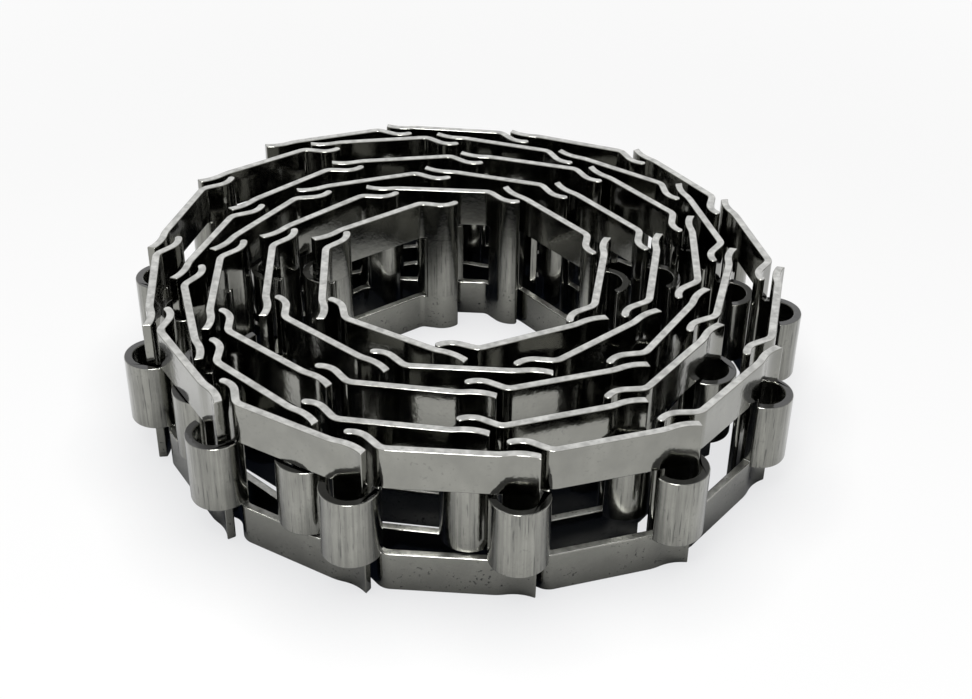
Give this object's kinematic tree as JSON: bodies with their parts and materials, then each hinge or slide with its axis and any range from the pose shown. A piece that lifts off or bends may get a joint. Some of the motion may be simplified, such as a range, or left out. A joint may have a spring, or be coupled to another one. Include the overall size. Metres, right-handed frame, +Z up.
{
  "type": "detachable link chain",
  "caption": "Steel detachable link chain in a flat coil: stamped links with a rolled crossbar, side bars and a hook that carries the next link's end bar, so links unhook to change length.",
  "frame": {"origin": "centre of the coil's bounding box in plan, on the plane that the lower edges of the links stand on", "axes": "+Z up, across the chain and along every hinge; +X to the right and +Y away from the viewer in the picture"},
  "size_m": [0.2748, 0.2746, 0.0625],
  "materials": {
    "steel": "dark, glossy, lightly oiled steel with brighter cut edges"
  },
  "bodies": {
    "coil": {"link_01": "steel", "link_02": "steel", "link_03": "steel", "link_04": "steel", "link_05": "steel", "link_06": "steel", "link_07": "steel", "link_08": "steel", "link_09": "steel", "link_10": "steel", "link_11": "steel", "link_12": "steel", "link_13": "steel", "link_14": "steel", "link_15": "steel", "link_16": "steel", "link_17": "steel", "link_18": "steel", "link_19": "steel", "link_20": "steel", "link_21": "steel", "link_22": "steel", "link_23": "steel", "link_24": "steel", "link_25": "steel", "link_26": "steel", "link_27": "steel", "link_28": "steel", "link_29": "steel", "link_30": "steel", "link_31": "steel", "link_32": "steel", "link_33": "steel", "link_34": "steel", "link_35": "steel", "link_36": "steel", "link_37": "steel", "link_38": "steel", "link_39": "steel", "link_40": "steel", "link_41": "steel", "link_42": "steel", "link_43": "steel", "link_44": "steel", "link_45": "steel", "link_46": "steel", "link_47": "steel"},
    "link_48": {"link_48": "steel"},
    "link_49": {"link_49": "steel"},
    "link_50": {"link_50": "steel"},
    "link_51": {"link_51": "steel"},
    "link_52": {"link_52": "steel"}
  },
  "joints": [
    {"name": "hinge_48", "type": "hinge", "parent": "coil", "child": "link_48", "pos_m": [0.12636, -0.00513, 0.03125], "axis": [0, 0, 1], "range_deg": [-32.9, 0]},
    {"name": "hinge_49", "type": "hinge", "parent": "link_48", "child": "link_49", "pos_m": [0.11343, 0.05203, 0.03125], "axis": [0, 0, 1], "range_deg": [-29.3, 0]},
    {"name": "hinge_50", "type": "hinge", "parent": "link_49", "child": "link_50", "pos_m": [0.08062, 0.10058, 0.03125], "axis": [0, 0, 1], "range_deg": [-43.7, 0]},
    {"name": "hinge_51", "type": "hinge", "parent": "link_50", "child": "link_51", "pos_m": [0.02565, 0.12089, 0.03125], "axis": [0, 0, 1], "range_deg": [-23, 0]},
    {"name": "hinge_52", "type": "hinge", "parent": "link_51", "child": "link_52", "pos_m": [-0.0327, 0.12629, 0.03125], "axis": [0, 0, 1], "range_deg": [-34, 0]}
  ]
}
